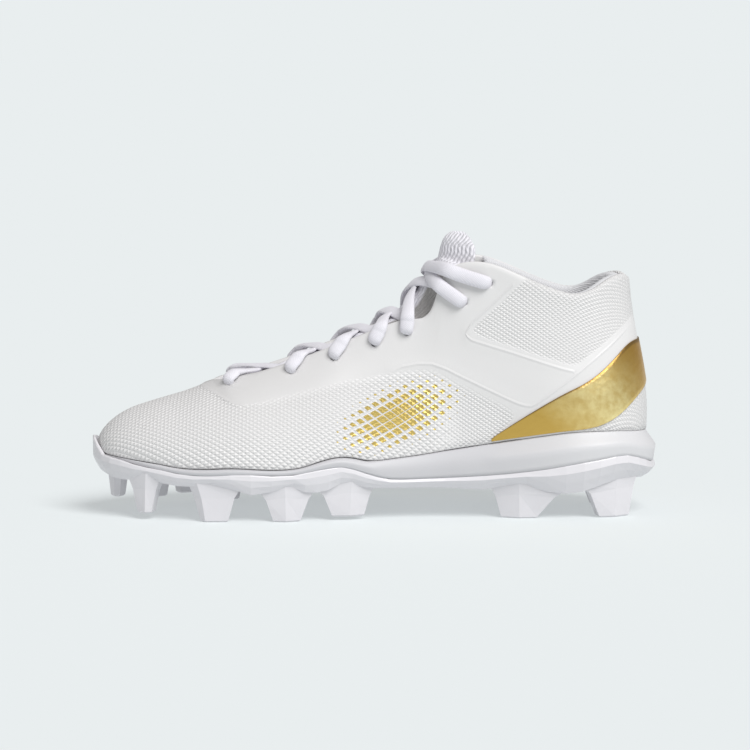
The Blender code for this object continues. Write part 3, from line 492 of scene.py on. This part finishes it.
skin = Nodes("embossed_skin")
film_line, arch_end, heel_low, ankle_low, ankle_front = (
    skin.line(drawn, skin.x) for drawn in (FILM_EDGE, ARCH_END, HEEL_LOW, ANKLE_LOW, ANKLE_FRONT)
)
toe_side = skin.over(TOE_ENDS, skin.x, 0.012)
fade = skin.add(skin.times(skin.less(1.0, toe_side), 0.0035), 0.0008)
below_film = skin.divide(skin.less(film_line, skin.z), fade, clamp=True)
arch = skin.both(below_film, skin.over(skin.z, arch_end, 0.0016))
ankle = skin.both(skin.over(skin.z, ankle_low, 0.0014), skin.over(ankle_front, skin.z, 0.0014))
heel = skin.over(heel_low, skin.z, 0.0010)
textured = skin.either(skin.either(arch, ankle), heel)
rear = skin.over(skin.x, REAR_STARTS, 0.016)
coarse = diamond_grid(skin, COARSE)
fine = skin.times(diamond_grid(skin, FINE), FINE_SHARE)
diamonds = skin.add(skin.unless(coarse, rear), skin.both(fine, rear))
raised = 0.0
for drawn, first, last, fading in EDGES:
    off = skin.apart(skin.z, skin.line(drawn, skin.x))
    crest = skin.less(1.0, skin.divide(off, LINE_HALF), clamp=True)
    reach = skin.both(skin.over(skin.x, first * MM, fading), skin.over(last * MM, skin.x, fading))
    raised = skin.either(raised, skin.both(crest, reach))
fold = skin.bump(raised, LINE_DEEP, 0.9, skin.bump(textured, -TEXTURE_DEEP, 0.7))
pressed = skin.bump(skin.both(diamonds, textured), DIAMOND_DEEP, 0.75, fold)
skin.set("Normal", skin.bump(skin.noise(GRAIN, 4.0), GRAIN_DEEP, 0.5, pressed))
# Painted shade and highlight: the diamonds are coloured darker in their grooves and lighter at their tips.
groove = skin.math("POWER", diamonds, 0.45)
# Painted shade: the film is coloured darker towards the front, over the vamp's top.
film = skin.mix(skin.over(skin.x, 0.005, 0.06), FILM_FRONT_PAINTED_SHADE, FILM_REAR)
white = skin.mix(textured, film, skin.mix(groove, GROOVE_PAINTED_SHADE, TIP_PAINTED_HIGHLIGHT))

# The printed field is an oval in the side view, set at a slant: its lozenges are the tips of diamonds
# twice as large, and they shrink from its middle to its rim.
LOZENGES_AT = (0.012, 0.053)
LOZENGES_HALF = (0.038, 0.0175)
LOZENGES_TURN = math.radians(22)
LOZENGES_FILL = 0.98
PRINTED_GOLD = (0.66, 0.50, 0.16)
from_x = skin.less(skin.x, LOZENGES_AT[0])
from_z = skin.less(skin.z, LOZENGES_AT[1])
turn = math.cos(LOZENGES_TURN), math.sin(LOZENGES_TURN)
long_way = skin.divide(skin.add(skin.times(from_x, turn[0]), skin.times(from_z, turn[1])), LOZENGES_HALF[0])
short_way = skin.divide(skin.less(skin.times(from_z, turn[0]), skin.times(from_x, turn[1])), LOZENGES_HALF[1])
inside = skin.less(1.0, skin.add(skin.both(long_way, long_way), skin.both(short_way, short_way)))
fill = skin.times(inside, LOZENGES_FILL, clamp=True)
gold = skin.both(skin.over(diamond_grid(skin, COARSE, 2), skin.less(1.04, fill), 0.05), arch)
skin.set("Base Color", skin.mix(gold, white, PRINTED_GOLD))
skin.set("Metallic", skin.times(gold, 0.85))
matt = skin.add(skin.times(textured, 0.10), 0.42)
skin.set("Roughness", skin.less(matt, skin.times(gold, 0.14)))
skin.set("Specular IOR Level", 0.4)
dress(upper, skin)
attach(upper, "root")
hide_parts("upper")


# Heel band. A gold foil film, heat-pressed on the skin round the heel; it runs forward to a thin
# point on each side. The foil is slightly crazed. Painted highlight: a pale mottled patch across it.
# Painted shade: brown towards the back of the heel. Dark brown on faces turned up: its cut edge, and painted
# shade.
MOTTLE = 240.0
CRAZING = 420.0
CRAZING_DEEP = 0.00022
HIGHLIGHT_AT = (0.113, 0.064)
HIGHLIGHT_HALF = 0.036
HEEL_SHADE_FROM = 0.180
FOIL_OCHRE = (0.62, 0.41, 0.10)
FOIL_PAINTED_HIGHLIGHT = (1.0, 0.87, 0.44)
FOIL_SHADE_BROWN = (0.50, 0.25, 0.035)
FOIL_EDGE_AND_SHADE = (0.30, 0.18, 0.05)
foil = Nodes("gold_foil")
mottle = foil.times(foil.less(foil.noise(MOTTLE, 6.0), 0.34), 2.8, clamp=True)
# Painted highlight: a pale band of colour across the foil, broken up by the mottle.
along = foil.add(foil.less(foil.x, HIGHLIGHT_AT[0]), foil.less(foil.z, HIGHLIGHT_AT[1]))
painted_highlight = foil.less(1.1, foil.divide(foil.math("ABSOLUTE", along), HIGHLIGHT_HALF), clamp=True)
pale = foil.both(painted_highlight, foil.add(foil.times(mottle, 0.6), 0.4))
# Painted shade: the foil is coloured brown towards the back of the heel and up it.
up_heel = foil.add(foil.x, foil.times(foil.z, 0.6))
painted_heel_shade = foil.times(foil.over(up_heel, HEEL_SHADE_FROM, 0.034), 0.85)
# Faces turned up are coloured dark brown: the foil's cut edge, and painted shade that dulls the rim's
# reflection.
cut_edge_and_shade = foil.over(foil.split(foil.facing)[2], 0.30, 0.20)
face = foil.mix(painted_heel_shade, foil.mix(pale, FOIL_OCHRE, FOIL_PAINTED_HIGHLIGHT), FOIL_SHADE_BROWN)
foil.set("Base Color", foil.mix(cut_edge_and_shade, face, FOIL_EDGE_AND_SHADE))
foil.set("Metallic", 0.85)
foil.set("Roughness", 0.35)
foil.set("Normal", foil.bump(foil.noise(CRAZING, 4.0), CRAZING_DEEP, 0.8))
band = smooth_piece("heel_band", "heel_foil", 2, 60, 0.8)
dress(band, foil)
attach(band, "root")
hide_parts("heel_band")


# Sole. The foam wedge is moulded and painted, the stud plate injection-moulded nylon with flat facets;
# both are glued to the upper's turned-in margin.
BOND_FILL = 0.00035
FOAM_FRONT_PAINTED_SHADE = (0.55, 0.545, 0.565)
FOAM_HEEL = (0.66, 0.655, 0.67)
NYLON_PLAIN = (0.715, 0.70, 0.725)
NYLON_LOW_DARK = (0.65, 0.635, 0.66)
DARKER_BELOW = 0.008
PLATE_ROUNDING = 0.0004
foam = Nodes("painted_foam")
# Painted shade: the foam is coloured darker from the heel forward, along the waist.
foam.set("Base Color", foam.mix(foam.over(foam.x, 0.075, 0.07), FOAM_FRONT_PAINTED_SHADE, FOAM_HEEL))
foam.set("Roughness", 0.48)
foam.set("Normal", foam.bump(foam.noise(1500.0), 0.00004, 0.5))
midsole = smooth_piece("midsole", "midsole_foam", 2, 35, 0.95)
bond = np.array([v.co[:] for v in midsole.data.vertices])
facing = np.array([v.normal.z for v in midsole.data.vertices])
bond[:, 2] += BOND_FILL * np.clip(facing * 2.0, -1.0, 1.0)
move_points(midsole, bond)
dress(midsole, foam)
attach(midsole, "root")
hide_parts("midsole")

nylon = Nodes("stud_nylon")
# The nylon is coloured darker towards its bottom, in blotches.
darker_low = nylon.both(nylon.over(DARKER_BELOW, nylon.z, 0.016), nylon.noise(220.0, 5.0))
nylon.set("Base Color", nylon.mix(darker_low, NYLON_PLAIN, NYLON_LOW_DARK))
nylon.set("Roughness", 0.36)
nylon.set("Coat Weight", 0.12)
nylon.set("Normal", nylon.bump(nylon.noise(700.0), 0.00003, 0.4))
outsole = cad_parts["outsole"]
rounded = outsole.modifiers.new("moulded_edges", "BEVEL")
rounded.width = PLATE_ROUNDING
rounded.segments = 2
rounded.limit_method = "ANGLE"
rounded.angle_limit = math.radians(28)
dress(outsole, nylon)


# Tongue, collar lining and footbed. Ribbed knit over thin foam, pale spacer mesh round the ankle,
# and a brushed cloth footbed; all are stitched or laid in from inside.
RIB_PITCH = 0.0036
WAVE_LONG = 0.0068
WAVE_DEEP = 0.0007
STITCH_TALL = 0.0026
KNIT_DEEP = 0.0009
# The knit's groove colour is painted shade between its ribs and stitches.
KNIT_GROOVE_SHADE = (0.70, 0.69, 0.74)
KNIT_CROWN = (0.94, 0.92, 0.97)
# Painted shade: the tongue's sides, where they lie in shadow under the eyestays, are coloured dark grey.
SIDE_SHADE_HALF = 0.0135
SIDE_SHADE_TOP = 0.126
SIDE_SHADE_GREY = (0.40, 0.385, 0.375)
TONGUE_TIP = ((32.6, 138), (37, 146))
knit = Nodes("tongue_knit_thread")
middle_line = knit.line([(z, x) for x, z in TONGUE_LINE + TONGUE_TIP], knit.z, 0.0, 200.0)
from_ridge = knit.apart(knit.y, MIDDLE_Y)
wrapped = knit.add(from_ridge, knit.less(knit.x, middle_line))
wave = knit.times(knit.math("SINE", knit.times(knit.z, 2 * math.pi / WAVE_LONG)), WAVE_DEEP)
ribs = knit.ridge(knit.add(wrapped, wave), RIB_PITCH)
stitches = knit.ridge(knit.add(knit.z, knit.times(wrapped, 0.4)), STITCH_TALL)
loops = knit.both(knit.math("POWER", ribs, 0.6), knit.add(knit.times(stitches, 0.35), 0.65))
# Painted shade on the tongue's sides, away from its ridge and below its top.
painted_side_shade = knit.both(knit.over(from_ridge, SIDE_SHADE_HALF, 0.0015), knit.over(SIDE_SHADE_TOP, knit.z, 0.004))
knit.set("Base Color", knit.mix(painted_side_shade, knit.mix(loops, KNIT_GROOVE_SHADE, KNIT_CROWN), SIDE_SHADE_GREY))
knit.set("Roughness", 0.85)
knit.set("Sheen Weight", 0.25)
knit.set("Normal", knit.bump(loops, KNIT_DEEP, 0.8))
tongue = smooth_piece("tongue", "tongue_knit", 2, 70, 0.3)
dress(tongue, knit)
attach(tongue, "root")
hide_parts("tongue")

CELL_PITCH = 0.0015
CELL_DEEP = 0.0003
# The hole colour is painted shade inside the mesh's cells.
CELL_HOLE_SHADE = (0.66, 0.66, 0.68)
CELL_THREAD = (0.86, 0.86, 0.875)
lining = Nodes("collar_spacer_mesh")
level = lining.add(lining.x, lining.y)
cells = lining.crossed(lining.add(level, lining.z), lining.less(lining.z, level), CELL_PITCH)
lining.set("Base Color", lining.mix(cells, CELL_HOLE_SHADE, CELL_THREAD))
lining.set("Roughness", 0.9)
lining.set("Sheen Weight", 0.2)
lining.set("Normal", lining.bump(cells, CELL_DEEP, 0.6))
collar = smooth_piece("collar_padding", "collar_lining", 2, 80, 0.2)
dress(collar, lining)
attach(collar, "root")
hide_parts("collar_padding")

CLOTH_PITCH = 0.0009
CLOTH_DEEP = 0.0002
CLOTH_SHADE = (0.62, 0.62, 0.64)
CLOTH_CROWN = (0.72, 0.72, 0.74)
brushed = Nodes("footbed_cloth")
threads = brushed.crossed(brushed.x, brushed.y, CLOTH_PITCH)
brushed.set("Base Color", brushed.mix(threads, CLOTH_SHADE, CLOTH_CROWN))
brushed.set("Roughness", 0.95)
brushed.set("Sheen Weight", 0.3)
brushed.set("Normal", brushed.bump(threads, CLOTH_DEEP, 0.6))
footbed = smooth_piece("insole", "footbed", 1, 60, 0.5)
dress(footbed, brushed)
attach(footbed, "root")
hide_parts("insole")


# Studio. A pale seamless floor under an even sky, with one wide soft lamp from above, in front and to
# the right. Both light the floor alike everywhere, so it meets the backdrop without an edge.
PAPER = (0.815, 0.855, 0.863, 1.0)
FLOOR_SIZE = 400.0
GLOW_SHARE = 0.42
SKY_LIGHT = 0.38
LAMP = 2.62
LAMP_ANGLE = math.radians(34)
LAMP_FROM = (0.35, -0.58, 0.75)
floor_shape = bmesh.new()
bmesh.ops.create_grid(floor_shape, x_segments=1, y_segments=1, size=FLOOR_SIZE)
floor_mesh = bpy.data.meshes.new("floor")
floor_shape.to_mesh(floor_mesh)
floor_shape.free()
floor = bpy.data.objects.new("floor", floor_mesh)
bpy.context.scene.collection.objects.link(floor)
paper = bpy.data.materials.new("pale_paper")
paper.use_nodes = True
paper_shader = paper.node_tree.nodes["Principled BSDF"]
# The floor also glows, though it is no lamp: painted light that keeps the shoe's shadow on it pale.
paper_shader.inputs["Base Color"].default_value = [c * (1 - GLOW_SHARE) for c in PAPER[:3]] + [1.0]
paper_shader.inputs["Emission Color"].default_value = PAPER
paper_shader.inputs["Emission Strength"].default_value = GLOW_SHARE
paper_shader.inputs["Roughness"].default_value = 1.0
paper_shader.inputs["Specular IOR Level"].default_value = 0.0
floor_mesh.materials.append(paper)

world = bpy.data.worlds.new("studio")
world.use_nodes = True
sky = world.node_tree
ground = sky.nodes["Background"]
ground.inputs["Color"].default_value = PAPER
ground.inputs["Strength"].default_value = 1.0
ambient = sky.nodes.new("ShaderNodeBackground")
ambient.inputs["Color"].default_value = (1.0, 1.0, 1.0, 1.0)
ambient.inputs["Strength"].default_value = SKY_LIGHT
seen, blend = sky.nodes.new("ShaderNodeLightPath"), sky.nodes.new("ShaderNodeMixShader")
sky.links.new(seen.outputs["Is Camera Ray"], blend.inputs[0])
sky.links.new(ambient.outputs[0], blend.inputs[1])
sky.links.new(ground.outputs[0], blend.inputs[2])
sky.links.new(blend.outputs[0], sky.nodes["World Output"].inputs["Surface"])
bpy.context.scene.world = world
lamp_data = bpy.data.lights.new("overhead", "SUN")
lamp_data.energy = LAMP
lamp_data.angle = LAMP_ANGLE
lamp = bpy.data.objects.new("overhead", lamp_data)
lamp.rotation_euler = Vector(LAMP_FROM).to_track_quat("Z", "Y").to_euler()
bpy.context.scene.collection.objects.link(lamp)
bpy.context.scene.view_settings.view_transform = "Standard"
